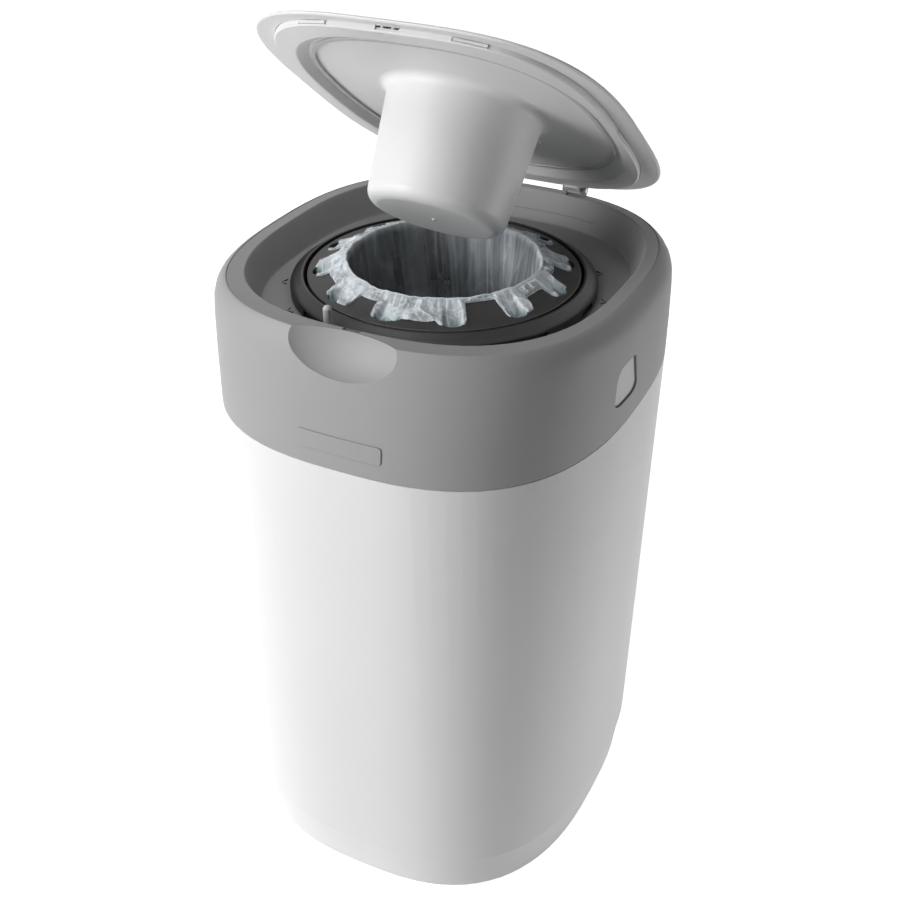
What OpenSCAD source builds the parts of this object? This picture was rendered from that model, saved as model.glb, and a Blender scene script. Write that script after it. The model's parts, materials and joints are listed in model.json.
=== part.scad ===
// Twist-and-seal nappy bin: tapered rounded-square tub, grey collar with a
// deck, a turning carrier with a lift-out film cassette, and a hinged lid
// with a push-down plunger. Millimetres, +Z up, origin at the middle of the
// footprint on the floor, front face towards -Y.

/* [Tub] */
// Width across the seam between tub and collar
body_w = 282; // [262:1:300]
// Depth across the seam between tub and collar
body_d = 315; // [295:1:335]
// Height of the seam at mid depth
seam_h = 368; // [330:1:390]
// Rise of the seam towards the back, in degrees
seam_tilt = 1.5; // [0:0.1:2]
// Tub and collar wall
wall = 2.6; // [2.2:0.1:3.2]
// Tub floor thickness
floor_t = 3.4; // [2.6:0.1:5]
// Height of the plinth band at the foot
plinth_h = 33; // [20:1:45]
// Draw-in of the tub side at the plinth line, across the width
taper_x = 6.8; // [4:0.2:9]
// Draw-in of the tub front at the plinth line
taper_y = 2; // [1:0.2:4]
// Further draw-in of the plinth band at the floor
plinth_in = 3.8; // [2:0.2:6]
// Corner fullness of the plan outline (2 is an ellipse)
fullness = 2.7; // [2.4:0.1:3.2]

/* [Collar] */
// Height of the collar rim above the floor
rim_h = 450; // [440:1:460]
// Draw-in of the rim split line across the width
rim_in_x = 8; // [7:0.5:9]
// Draw-in of the rim split line front to back
rim_in_y = 16.5; // [14:0.5:18]
// Forward shift of the rim outline
rim_shift = 4.4; // [3.5:0.1:5.5]
// Depth of the locating skirt that drops into the tub
skirt_h = 11; // [8:0.5:14]
// Clearance of the locating skirt in the tub
skirt_gap = 0.5; // [0.3:0.1:0.8]
// Shadow gap at the seam
seam_gap = 0.5; // [0.3:0.1:1]
// Half width of the finger scoop
scoop_x = 46; // [40:1:50]
// Depth of the finger scoop from the front face
scoop_y = 22; // [18:0.5:24]
// Drop of the finger scoop below its centre
scoop_z = 29; // [24:1:32]
// Width of the bare front pad
pad_w = 60; // [40:1:80]
// Height of the bare front pad
pad_h = 12; // [8:0.5:14]
// Height of the pad centre above the seam
pad_up = 13; // [10:0.5:18]
// Stand-out of the bare front pad
pad_t = 0.8; // [0.5:0.1:1.5]

/* [Deck] */
// Width of the rim land at the sides
land_x = 9.5; // [8:0.5:10.5]
// Width of the rim land at front and back
land_y = 10; // [9:0.5:11]
// Depth of the ledge below the rim
ledge_drop = 22; // [20:0.5:24]
// Slope-in of the inner wall down to the ledge
wall_slope = 7; // [5:0.5:8]
// Deck plate thickness
deck_t = 2.8; // [2.4:0.1:3.2]
// Forward offset of the turning axis
axis_fwd = 9.5; // [8:0.5:11]
// Number of arrow marks round the ledge
n_marks = 15; // [9:1:18]
// Height of the arrow marks and step pads on the ledge
mark_t = 1; // [0.5:0.1:1.2]

/* [Carrier] */
// Radius of the carrier's running drum
drum_r = 97.95; // [96:0.05:98.5]
// Running clearance of the drum in the deck bore
run_gap = 0.05; // [0.03:0.01:0.08]
// Length of the deck bore
bore_len = 20; // [14:1:24]
// Overhang of the carrier flange past the drum
flange_over = 5.6; // [5:0.1:6]
// Carrier height above the ledge
crown_h = 12.2; // [11:0.2:13]
// Depth of the carrier below the ledge
carrier_drop = 27; // [24:1:30]
// Number of windows, petals and film folds round the ring
n_petals = 12; // [8:1:14]

/* [Cassette] */
// Side clearance of the cassette in the carrier
cassette_gap = 0.8; // [0.5:0.1:1.2]
// Cassette moulding wall
cassette_wall = 1.6; // [1.2:0.1:2]
// Inner radius of the cassette's core tube
core_r = 64; // [61:0.5:65]
// Rise of the petal tips above the cassette flange
petal_rise = 6.6; // [5:0.2:7.5]
// Thickness of the drawn film in the solids
film_t = 1; // [0.8:0.1:1.4]
// Height of the bottom of the drawn film bag above the floor
film_low = 236; // [200:1:280]

/* [Lid] */
// How far the lid stands open at rest, in degrees
lid_open = 36.5; // [30:0.5:45]
// Draw-in of the lid edge from the rim split line, sides
lid_in_x = 12.5; // [12:0.5:15]
// Draw-in of the lid edge from the rim split line, front and back
lid_in_y = 2.5; // [2:0.1:3.5]
// Corner fullness of the lid's outline
lid_full = 3.3; // [2.8:0.1:3.5]
// Gap between the rim and the closed lid's liner
lid_gap = 2.5; // [2:0.1:3]
// Height of the liner's wall below the lid edge
liner_h = 3.3; // [2.8:0.1:4]
// Thickness of the lid's edge
edge_t = 2.4; // [2:0.1:3]
// Rise of the lid's crown above its edge
crown = 14; // [12:0.5:16]
// Lid cover wall
cover_t = 2.2; // [2:0.1:2.4]
// Lid liner wall
liner_t = 2; // [1.8:0.1:2.2]
// Draw-in of the liner from the lid edge, sides
liner_in_x = 13.5; // [12:0.5:14]
// Draw-in of the liner from the lid edge, front and back
liner_in_y = 7.5; // [7:0.5:8]
// Draw-in of the dished floor's outer line from the liner's edge, sides
groove_in = 5; // [4.5:0.5:7]
// Depth of the liner's dished floor
dish = 5.6; // [5:0.1:6]
// Reach of the plunger below the rim when closed
plunge = 69; // [55:1:80]
// Plunger radius at its foot
plunger_r = 46.7; // [42:0.1:50]
// Growth of the plunger radius towards the liner
plunger_draft = 4.9; // [2:0.1:6]
// Rounding of the plunger's bottom edge
plunger_fil = 8; // [5:0.5:12]
// Rounding where the plunger runs into the liner
root_fil = 6.5; // [6:0.5:11]
// Depth of the catch slot below the rim
catch_drop = 11; // [9:0.5:12]

/* [Hinge] */
// Distance of the hinge axis inside the rim split line's depth
hinge_in = 7; // [6.5:0.1:7.5]
// Height of the hinge axis above the rim
hinge_up = 3.4; // [3.2:0.1:3.8]
// Radius of the knuckles and ears
knuckle_r = 3.2; // [3:0.05:3.2]
// Radius of the hinge pins
pin_r = 1.8; // [1.5:0.1:2]
// Sideways place of each hinge
hinge_x = 37; // [32:1:44]
// Width of each lid knuckle
knuckle_w = 10; // [8:0.5:12]
// Thickness of each ear
ear_t = 3.5; // [3:0.1:4]
// Side gap between knuckle and ear
ear_gap = 0.5; // [0.3:0.1:0.8]

/* [Release] */
// Distance of the release windows ahead of the middle
win_fwd = 32; // [28:1:36]
// Place of each release window's middle between seam and rim, as a share
win_share = 0.396; // [0.38:0.002:0.42]
// Clearance round the release tongue in its window
win_gap = 0.9; // [0.6:0.1:1.2]
// Inward travel of each release tongue
press = 4; // [3.5:0.1:4.2]
// Radius of the tongue's guide stem
stem_r = 3; // [2.5:0.1:3.5]
// Width of the spring-steel catch clip
clip_w = 16; // [12:0.5:18]
// Thickness of the catch clip
clip_t = 1.2; // [1:0.1:1.4]

/* [Click finger] */
// Radius of the click finger's post
post_r = 2.8; // [2.4:0.1:3]
// Angle of the click finger from the front, in degrees
post_ang = 16; // [12:1:20]
// Clearance between the finger's nose and the carrier
nose_gap = 0.4; // [0.3:0.1:0.5]
// Outward travel of the click finger
click = 2; // [1.5:0.1:2.2]

/* [Hidden] */
seg = 80;
big = 800;
eps = 0.02;
touch = 0.2;

// colours
white_c = [0.93, 0.93, 0.92];
grey_c = [0.47, 0.47, 0.48];
black_c = [0.07, 0.07, 0.08];
film_c = [0.86, 0.90, 0.91];
steel_c = [0.72, 0.73, 0.75];
tongue_c = [0.78, 0.78, 0.78];

// plan outlines
bx = body_w/2;
by = body_d/2;
sx = bx - rim_in_x;
sy = by - rim_in_y;
cx = sx - land_x;
cy = sy - land_y;
cav_shift = 1;
lx = cx - wall_slope;
ly = cy - wall_slope;
ledge_z = rim_h - ledge_drop;

// turning parts
bore_r = drum_r + run_gap;
tube_t = 3;
ring_r = drum_r + flange_over;
ring_z0 = ledge_z + 0.05;
ring_z1 = ledge_z + crown_h;
crown_r = ring_r - 8;
seat_r = crown_r - 1.6;
drum_z = ledge_z - carrier_drop;
carrier_floor = 3;
cas_z = drum_z + carrier_floor + 0.05;
tray_r = seat_r - 1.2 - cassette_gap;
hole_r = core_r + cassette_wall + 0.4;
cap_z = ring_z1 - 3.6;
tip_r = core_r + 4.8;
tip_z = ring_z1 + petal_rise;
gap_r = tray_r - 10.5;
gap_end = tray_r - 3.6;
petal_pitch = 360/n_petals;

// lid in its closed place
lid_x = sx - lid_in_x;
lid_y = sy - lid_in_y;
low_z = rim_h + lid_gap;
lid_z = low_z + liner_h;
hz = rim_h + hinge_up;
hinge_y = sy - hinge_in;
floor_z = low_z + dish;
liner_x = lid_x - liner_in_x;
liner_y = lid_y - liner_in_y;
groove_x = liner_x - groove_in;
groove_y = liner_y - 2.6*groove_in;
dish_x = groove_x - 5.5;
dish_y = groove_y - 10;
plunge_z = rim_h - plunge;
slot_y = sy + rim_shift - 12;
slot_w = 12;
slot_t = 3;

// release catch
win_k = min(1, (0.695*(rim_h - seam_h) - 3)/31);
win_z = seam_h + win_share*(rim_h - seam_h);
shelf_z = seam_h + 0.146*(rim_h - seam_h);
clip_x = bx - 8.6;
hook_x = bx - 4.9;
stem_z = win_z;
bracket_x0 = bore_r + 18;
bracket_x1 = bracket_x0 + 7;
stem_gap = 0.05;

// click finger
post_d = ring_r + nose_gap + 3.3;
foot_t = 4;

// a rounded-square outline: half width a, half depth b, shift s, fullness n
function plan(a, b, s, n) = [for (i = [0 : seg - 1])
  let (c = cos(360*i/seg), v = sin(360*i/seg))
  [a*sign(c)*pow(abs(c), 2/n), s + b*sign(v)*pow(abs(v), 2/n)]];

// one place on such an outline, at parameter angle t
function on_plan(a, b, s, t) =
  let (c = cos(t), v = sin(t), n = fullness)
  [a*sign(c)*pow(abs(c), 2/n), s + b*sign(v)*pow(abs(v), 2/n)];

// closed solid through stacked outlines; each row is [z, a, b, shift]
module loft(rows, n = fullness) {
  m = len(rows);
  pts = [for (r = rows) for (p = plan(r[1], r[2], r[3], n)) [p[0], p[1], r[0]]];
  low = [for (i = [0 : seg - 1]) i];
  high = [for (i = [0 : seg - 1]) m*seg - 1 - i];
  sides = [for (j = [0 : m - 2]) for (i = [0 : seg - 1])
    let (k = (i + 1) % seg, a = j*seg, b = (j + 1)*seg)
    each [[b + i, b + k, a + k], [b + i, a + k, a + i]]];
  polyhedron(points = pts, faces = concat([low], sides, [high]), convexity = 6);
}

// the same rows grown by d in plan
function grow(rows, d) = [for (r = rows) [r[0], r[1] + d, r[2] + d, r[3]]];

// outline of the outside at height z, from the plinth line up through the seam
function side_a(z) = bx - taper_x*(seam_h - z)/(seam_h - plinth_h);
function side_b(z) = by - taper_y*(seam_h - z)/(seam_h - plinth_h);

// outside of the tub, foot to above the seam
foot_a = side_a(plinth_h) - plinth_in;
foot_b = side_b(plinth_h) - plinth_in;
tub_rows = [
  [0, foot_a - 3.2, foot_b - 3.2, 0],
  [0.9, foot_a - 1.5, foot_b - 1.5, 0],
  [3, foot_a - 0.3, foot_b - 0.3, 0],
  [plinth_h - 0.8, foot_a + plinth_in - 0.9, foot_b + plinth_in - 0.9, 0],
  [plinth_h, foot_a + plinth_in, foot_b + plinth_in, 0],
  [seam_h + 14, side_a(seam_h + 14), side_b(seam_h + 14), 0]];

// outside of the collar, below the seam to the rim split line
collar_h = rim_h - seam_h;
collar_rows = [
  [seam_h - 24, side_a(seam_h - 24), side_b(seam_h - 24), 0],
  [seam_h, bx, by, 0],
  [seam_h + 0.39*collar_h, bx + 1.2, by - 4.3, -1.5],
  [seam_h + 0.695*collar_h, bx + 2, by - 9, -0.73*rim_shift],
  [seam_h + 0.829*collar_h, bx + 1.8, by - 11.3, -0.89*rim_shift],
  [seam_h + 0.898*collar_h, bx + 0.4, by - 13, -0.95*rim_shift],
  [rim_h - 4.4, bx - 2, by - 14.4, -0.98*rim_shift],
  [rim_h - 1.6, bx - 4.8, by - 15.6, -rim_shift],
  [rim_h - 0.4, bx - 6.8, by - 16.2, -rim_shift],
  [rim_h, sx, sy, -rim_shift]];
collar_in = [
  [seam_h - 24, side_a(seam_h - 24) - wall, side_b(seam_h - 24) - wall, 0],
  [seam_h, bx - wall, by - wall, 0],
  [seam_h + 0.39*collar_h, bx + 1.2 - wall, by - 4.3 - wall, -1.5],
  [seam_h + 0.695*collar_h, bx + 2 - wall, by - 9 - wall, -0.73*rim_shift],
  [seam_h + 0.829*collar_h, bx + 1.4 - wall, by - 11.7 - wall, -0.89*rim_shift],
  [seam_h + 0.898*collar_h, bx - 0.4 - wall, by - 13.8 - wall, -0.95*rim_shift],
  [rim_h - 2.6, bx - 3.4 - wall, by - 15.4 - wall, -rim_shift]];

// the collar's outside below its shoulder
low_rows = [collar_rows[0], collar_rows[1], collar_rows[2], collar_rows[3]];

// everything above the tilted seam, moved by d
module above_seam(d) {
  translate([0, 0, seam_h + d]) rotate([seam_tilt, 0, 0])
    translate([-big/2, -big/2, 0]) cube([big, big, big]);
}

module below_seam(d) {
  translate([0, 0, seam_h + d]) rotate([seam_tilt, 0, 0])
    translate([-big/2, -big/2, -big]) cube([big, big, big]);
}

// the turning axis
module on_axis() {
  translate([0, -axis_fwd, 0]) children();
}

// the lid's place, swung open about the hinge
module lid_place() {
  translate([0, hinge_y, hz]) rotate([-lid_open, 0, 0])
    translate([0, -hinge_y, -hz]) children();
}

// finger scoop, grown by d
scoop_cy = -(by + 0.5);
scoop_cz = rim_h + 2;
module scoop(d) {
  translate([0, scoop_cy, scoop_cz])
    scale([(scoop_x + d)/scoop_y, (scoop_y + d)/scoop_y, (scoop_z + d)/scoop_y])
      sphere(r = scoop_y, $fn = 64);
}

// outline of a release window in side view, [y, z] about its middle, inset d
function shield(d) = [
  [-17.2 + d, -8.6], [-17.2 + d, 5], [-15.8 + d, 9.6 - d/2], [-12.6 + d, 13.2 - d],
  [-8.6, 14.4 - d], [7.4 - d, 14.6 - d], [9.4 - d, 13.8 - d], [10.6 - d, 11.4 - d],
  [18.2 - d, -8.6], [18 - d, -11.2 + d], [16.2 - d, -13.6 + d], [12.4 - d, -14.9 + d],
  [0, -15.6 + d], [-10.6, -15.2 + d], [-14.6 + d, -13.6 + d], [-16.6 + d, -11.2 + d]];

// prism of that outline through the right-hand wall
module window(d, x0, x1) {
  translate([x0, -win_fwd, win_z]) rotate([90, 0, 90])
    linear_extrude(x1 - x0) scale(win_k) polygon(shield(d/win_k));
}

// rounded bar for the spring coils: wavy tube along +Z from 0 to len
module coil(r, len, wire) {
  turns = max(3, floor(len/(2*wire)));
  p = len/turns;
  rotate_extrude($fn = 32) polygon(concat(
    [for (i = [0 : turns - 1]) each [[r - wire*0.7, i*p], [r, (i + 0.5)*p]]],
    [[r - wire*0.7, len], [r - wire*1.7, len]],
    [for (i = [turns - 1 : -1 : 0]) each [[r - wire, (i + 0.5)*p], [r - wire*1.7, i*p]]]));
}

// ---------------------------------------------------------------- tub
module tub() {
  color(white_c) difference() {
    union() {
      difference() {
        loft(tub_rows);
        loft([
          [floor_t, foot_a - 3 - wall, foot_b - 3 - wall, 0],
          [floor_t + 4, foot_a - wall, foot_b - wall, 0],
          [plinth_h, foot_a + plinth_in - wall, foot_b + plinth_in - wall, 0],
          [seam_h + 20, side_a(seam_h + 20) - wall, side_b(seam_h + 20) - wall, 0]]);
      }
      clip_boss();
      mirror([1, 0, 0]) clip_boss();
    }
    above_seam(-seam_gap);
    // shallow recess inside the foot ring
    translate([0, 0, -eps]) loft([
      [0, foot_a - 14, foot_b - 14, 0],
      [1.2, foot_a - 14.6, foot_b - 14.6, 0]]);
  }
}

// pad on the tub wall that carries a catch clip
boss_z0 = shelf_z - 62;
boss_z1 = shelf_z - 36;
module clip_boss() {
  intersection() {
    translate([clip_x, -win_fwd - clip_w/2 - 2, boss_z0])
      cube([bx, clip_w + 4, boss_z1 - boss_z0]);
    loft([
      [boss_z0 - 5, side_a(boss_z0 - 5) - wall/2, side_b(boss_z0 - 5) - wall/2, 0],
      [boss_z1 + 5, side_a(boss_z1 + 5) - wall/2, side_b(boss_z1 + 5) - wall/2, 0]]);
  }
}

// ---------------------------------------------------------------- catch clips
module catch_clip_r() {
  color(steel_c) translate([0, -win_fwd + clip_w/2, 0]) rotate([90, 0, 0])
    linear_extrude(clip_w) polygon([
      [clip_x - clip_t, boss_z0 + 2], [clip_x, boss_z0 + 2],
      [clip_x, shelf_z + 0.6 - clip_t],
      [clip_x, shelf_z + 0.6], [hook_x, shelf_z + 0.6], [hook_x, shelf_z + 9],
      [hook_x - clip_t, shelf_z + 9], [hook_x - clip_t, shelf_z + 0.6 + clip_t],
      [clip_x - clip_t, shelf_z + 0.6 + clip_t]]);
}
module catch_clip_l() {
  mirror([1, 0, 0]) catch_clip_r();
}

// ---------------------------------------------------------------- collar
module collar() {
  color(grey_c) difference() {
    union() {
      difference() {
        loft(collar_rows);
        loft(collar_in);
        below_seam(0);
      }
      // locating skirt inside the tub
      difference() {
        intersection() {
          loft(grow([collar_in[0], collar_in[1], collar_in[2]], -skirt_gap));
          below_seam(4);
        }
        loft(grow([collar_in[0], collar_in[1], collar_in[2]], -skirt_gap - 2));
        below_seam(-skirt_h);
      }
      // root that joins the skirt to the shell
      difference() {
        intersection() {
          loft(grow([collar_in[0], collar_in[1], collar_in[2]], 0.5));
          below_seam(4);
        }
        loft(grow([collar_in[0], collar_in[1], collar_in[2]], -skirt_gap - 2));
        below_seam(0);
      }
      // wall of the finger scoop, catch shelves and screw bosses
      intersection() {
        union() {
          scoop(wall);
          collar_shelf();
          mirror([1, 0, 0]) collar_shelf();
          for (t = screw_t) screw_boss(t);
        }
        loft(grow(collar_rows, -eps));
      }
    }
    // top opening that the deck fills
    difference() {
      loft([[rim_h - 30, sx, sy, -rim_shift], [rim_h + 1, sx, sy, -rim_shift]]);
      scoop(wall);
    }
    scoop(0);
    translate([0, scoop_cy, rim_h + big/2]) cube([big, big, big], center = true);
    window(0, clip_x - 2, bx + 12);
    mirror([1, 0, 0]) window(0, clip_x - 2, bx + 12);
    for (t = screw_t) screw_hole(t);
    catch_slot();
  }
}

// ledge that a catch clip hooks over
module collar_shelf() {
  translate([hook_x - press + 0.4, -win_fwd - clip_w/2 - 2, shelf_z - 3.4])
    cube([press + wall + 0.6, clip_w + 4, 3.4]);
}

// places of the six deck screws on the outline between deck and collar
screw_t = [0, 22, 158, 180, 202, 338];
boss_r = 3;
lug_z = rim_h - 14;
function screw_at(t) = on_plan(sx + boss_r + 0.3, sy + boss_r + 0.3, -rim_shift, t);
screw_r = 1.2;
head_r = 2.6;
head_t = 1.8;
module screw_boss(t) {
  translate([screw_at(t)[0], screw_at(t)[1], lug_z + 3])
    cylinder(r = boss_r, h = rim_h - 1.6 - lug_z - 3, $fn = 32);
}
module screw_hole(t) {
  translate([screw_at(t)[0], screw_at(t)[1], lug_z])
    cylinder(r = screw_r, h = 9.2, $fn = 24);
  translate([screw_at(t)[0], screw_at(t)[1], lug_z - head_t - 1])
    cylinder(r = head_r + touch, h = head_t + 1, $fn = 24);
}

// ---------------------------------------------------------------- front pad
module front_pad() {
  color(grey_c) difference() {
    intersection() {
      loft(grow(low_rows, pad_t));
      translate([0, 0, seam_h + pad_up]) rotate([90, 0, 0]) linear_extrude(2*by)
        polygon(concat(
          [for (q = [[1, 1, 0], [-1, 1, 90], [-1, -1, 180], [1, -1, 270]])
            for (k = [0 : 4])
              [q[0]*(pad_w/2 - pad_cr) + pad_cr*cos(q[2] + k*22.5),
                q[1]*(pad_h/2 - pad_cr) + pad_cr*sin(q[2] + k*22.5)]]));
    }
    loft(low_rows);
  }
}
pad_cr = 2.4;

// ---------------------------------------------------------------- deck
module deck() {
  color(grey_c) difference() {
    union() {
      difference() {
        union() {
          // land, outer skirt and inner wall
          loft([
            [lug_z, sx - touch, sy - touch, -rim_shift],
            [rim_h - 0.5, sx - touch, sy - touch, -rim_shift],
            [rim_h, sx - 0.9, sy - 0.9, -rim_shift]]);
          loft([
            [ledge_z - deck_t, lx + deck_t - 1.2, ly + deck_t - 1.2, -cav_shift],
            [rim_h - 3, cx + deck_t, cy + deck_t, -cav_shift]]);
          intersection() {
            for (t = screw_t) lug(t);
            loft(grow([collar_in[3], collar_in[4], collar_in[5]], -0.5));
          }
        }
        // space between the outer skirt and the inner wall
        difference() {
          loft([
            [ledge_z - 20, sx - deck_t, sy - deck_t, -rim_shift],
            [rim_h - deck_t, sx - deck_t, sy - deck_t, -rim_shift]]);
          loft([
            [ledge_z - deck_t, lx + deck_t - 1.2, ly + deck_t - 1.2, -cav_shift],
            [rim_h + 1, cx + deck_t + 0.6, cy + deck_t + 0.6, -cav_shift]]);
        }
        // open well above the ledge
        loft([
          [ledge_z, lx - 1.4, ly - 1.4, -cav_shift],
          [ledge_z + 1.4, lx, ly, -cav_shift],
          [rim_h - 3, cx - 0.9, cy - 0.9, -cav_shift],
          [rim_h - 0.8, cx - 0.2, cy - 0.2, -cav_shift],
          [rim_h + 0.2, cx + 0.9, cy + 0.9, -cav_shift]]);
      }
      on_axis() translate([0, 0, ledge_z - bore_len])
        cylinder(r = bore_r + tube_t, h = bore_len - 1, $fn = 180);
      ledge_marks();
      for (s = [-1, 1]) release_bracket(s);
      click_rib();
      for (s = [-1, 1]) for (e = [-1, 1]) ear(s, e);
    }
    // bore that the carrier runs in
    on_axis() translate([0, 0, ledge_z - bore_len - 1])
      cylinder(r = bore_r, h = bore_len + 4, $fn = 180);
    // clearance for the scoop wall
    scoop(wall + touch);
    // relief under each lid knuckle, and bore for each pin
    for (s = [-1, 1]) {
      translate([s*hinge_x - knuckle_w/2 - ear_gap, hinge_y - 8, hz - knuckle_r - 0.8])
        cube([knuckle_w + 2*ear_gap, 16, 12]);
      translate([s*hinge_x - 12, hinge_y, hz]) rotate([0, 90, 0])
        cylinder(r = pin_r, h = 24, $fn = 48);
    }
    catch_slot();
    // shallow panel in the back wall below the hinges
    intersection() {
      translate([-58, ly - cav_shift - 12, ledge_z + 7.5]) cube([116, 40, 10.5]);
      loft([
        [ledge_z + 1.4, lx + 1, ly + 1, -cav_shift],
        [rim_h - 3, cx + 0.1, cy + 0.1, -cav_shift]]);
    }
    click_slot();
    for (t = screw_t) screw_hole_deck(t);
  }
}

// slot that the lid catch enters
module catch_slot() {
  translate([-slot_w/2, -slot_y - slot_t/2, rim_h - catch_drop])
    cube([slot_w, slot_t, big]);
}
module lug(t) {
  translate([screw_at(t)[0], screw_at(t)[1], lug_z])
    cylinder(r = boss_r + 4, h = 3 - touch, $fn = 32);
}
module screw_hole_deck(t) {
  translate([screw_at(t)[0], screw_at(t)[1], lug_z - 2])
    cylinder(r = screw_r + 0.3, h = 6, $fn = 24);
}

// small raised arrows and the two step pads on the ledge
mark_r = ring_r + 6.4;
module ledge_marks() {
  pitch = 360/n_marks;
  // none stands where the click finger's slot is
  on_axis() for (i = [0 : n_marks - 1]) if (abs(pitch*(i + 0.5) - 270 + post_ang) > 8)
    rotate([0, 0, pitch*(i + 0.5)]) translate([mark_r, 0, ledge_z - 0.2])
      for (s = [-1, 1]) rotate([0, 0, s*38])
        translate([-0.5, s*2.2 - 2.4, 0]) cube([1, 4.8, mark_t + 0.2]);
  intersection() {
    loft([
      [ledge_z - 1, lx - 0.6, ly - 0.6, -cav_shift],
      [ledge_z + mark_t, lx - 0.6, ly - 0.6, -cav_shift]]);
    on_axis() difference() {
      translate([0, 0, ledge_z - 0.5]) for (s = [-1, 1]) rotate([0, 0, 8*s])
        translate([s*mark_r - 30 + s*44, -12, 0]) cube([60, 24, 4]);
      translate([0, 0, ledge_z - 2]) cylinder(r = ring_r + 3, h = 20, $fn = 120);
    }
  }
}

// bracket under the ledge that guides a release stem
module release_bracket(s) {
  difference() {
    union() {
      translate([s > 0 ? bracket_x0 : -bracket_x1, -win_fwd - 7, stem_z - 7])
        cube([bracket_x1 - bracket_x0, 14, ledge_z - stem_z + 7 - 1]);
      translate([s > 0 ? bore_r + 1 : -bracket_x1, -win_fwd - 7, ledge_z - 9])
        cube([bracket_x1 - bore_r - 1, 14, 8]);
    }
    translate([s > 0 ? bracket_x0 - 2 : -bracket_x1 - 2, -win_fwd, stem_z])
      rotate([0, 90, 0])
        cylinder(r = stem_r + stem_gap, h = bracket_x1 - bracket_x0 + 4, $fn = 48);
  }
}

// one ear of a hinge: s picks the hinge, e its outer or inner side
module ear(s, e) {
  x0 = s*hinge_x + e*(knuckle_w/2 + ear_gap) - (e < 0 ? ear_t : 0);
  translate([x0, hinge_y, hz]) rotate([0, 90, 0]) cylinder(r = knuckle_r, h = ear_t, $fn = 48);
  translate([x0, hinge_y - knuckle_r + 0.4, rim_h - 2])
    cube([ear_t, knuckle_r - 0.8, hinge_up + 2]);
}

// radial frame of the click finger, +X outward
module click_place() {
  on_axis() rotate([0, 0, -90 - post_ang]) children();
}
module click_slot() {
  click_place() translate([post_d - post_r - 1, -post_r - 0.3, ledge_z - 12])
    cube([2*post_r + click + 2, 2*post_r + 0.6, 20]);
}
rib_d = post_d + post_r + click + 5.6;
module click_rib() {
  intersection() {
    click_place() translate([rib_d, -4.5, ledge_z - 11]) cube([1.6, 9, 9.5]);
    loft([[ledge_z - 12, lx + 2, ly + 2, -cav_shift], [ledge_z, lx + 2, ly + 2, -cav_shift]]);
  }
}

// ---------------------------------------------------------------- fasteners
module deck_screws() {
  color(steel_c) for (t = screw_t) translate(concat(screw_at(t), [lug_z - head_t])) {
    cylinder(r = head_r, h = head_t, $fn = 24);
    cylinder(r = screw_r, h = 10, $fn = 24);
  }
}

module hinge_pin(s) {
  color(steel_c) translate([s*hinge_x - knuckle_w/2 - ear_gap - ear_t, hinge_y, hz])
    rotate([0, 90, 0]) cylinder(r = pin_r, h = knuckle_w + 2*ear_gap + 2*ear_t, $fn = 48);
}
module hinge_pin_r() {
  hinge_pin(1);
}
module hinge_pin_l() {
  hinge_pin(-1);
}

// ---------------------------------------------------------------- release
tongue_t = 2.4;
tongue_back = 1.2;
stem_in = bracket_x0 - 3;
module release_r() {
  color(tongue_c) {
    intersection() {
      window(win_gap, clip_x - 4, bx + 12);
      difference() {
        loft(grow(low_rows, -tongue_back));
        loft(grow(low_rows, -tongue_back - tongue_t));
      }
    }
    translate([stem_in, -win_fwd, stem_z]) rotate([0, 90, 0])
      cylinder(r = stem_r, h = bx - 2.6 - stem_in, $fn = 48);
  }
}
module release_l() {
  mirror([1, 0, 0]) release_r();
}
module release_spring_r() {
  color(steel_c) translate([bracket_x1 + touch, -win_fwd, stem_z]) rotate([0, 90, 0])
    coil(stem_r + 2, bx - 6 - bracket_x1, 1);
}
module release_spring_l() {
  mirror([1, 0, 0]) release_spring_r();
}

// ---------------------------------------------------------------- click finger
module click_finger() {
  color(white_c) click_place() {
    translate([post_d, 0, ledge_z - deck_t - foot_t]) {
      cylinder(r = post_r, h = ledge_drop + deck_t + foot_t - 1.8, $fn = 40);
      translate([0, 0, ledge_drop + deck_t + foot_t - 1.8]) sphere(r = post_r, $fn = 40);
    }
    translate([post_d - 3.3, -1.4, ledge_z + 1.6]) cube([3.3, 2.8, 3.6]);
    translate([post_d - post_r - 1.4, -post_r - 2, ledge_z - deck_t - foot_t])
      cube([2*post_r + 1.4, 2*post_r + 4, foot_t - touch]);
  }
}
module click_spring() {
  color(steel_c) click_place()
    translate([post_d + post_r + touch, 0, ledge_z - deck_t - foot_t/2 - 0.1])
      rotate([0, 90, 0]) coil(1.7, rib_d - post_d - post_r - 2*touch, 0.6);
}

// ---------------------------------------------------------------- carrier
module carrier() {
  color(black_c) on_axis() difference() {
    rotate_extrude($fn = 180) polygon([
      [hole_r, drum_z], [drum_r - 2, drum_z], [drum_r, drum_z + 2], [drum_r, ring_z0],
      [ring_r, ring_z0], [ring_r, ring_z0 + 5.6], [ring_r - 0.7, ring_z0 + 7.2],
      [crown_r + 1.4, ring_z1 - 1.2], [crown_r + 0.5, ring_z1 - 0.2], [crown_r - 0.2, ring_z1],
      [crown_r - 1.2, ring_z1 - 0.3], [seat_r, ring_z1 - 2.4], [seat_r - 1.2, ring_z1 - 6],
      [seat_r - 1.2, drum_z + carrier_floor], [hole_r, drum_z + carrier_floor]]);
    // twelve shallow windows round the wall
    for (i = [0 : n_petals - 1]) rotate([0, 0, petal_pitch*i])
      translate([ring_r - 2.6, -9, ring_z0 + 1.4]) cube([6, 18, 4]);
  }
}

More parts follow.
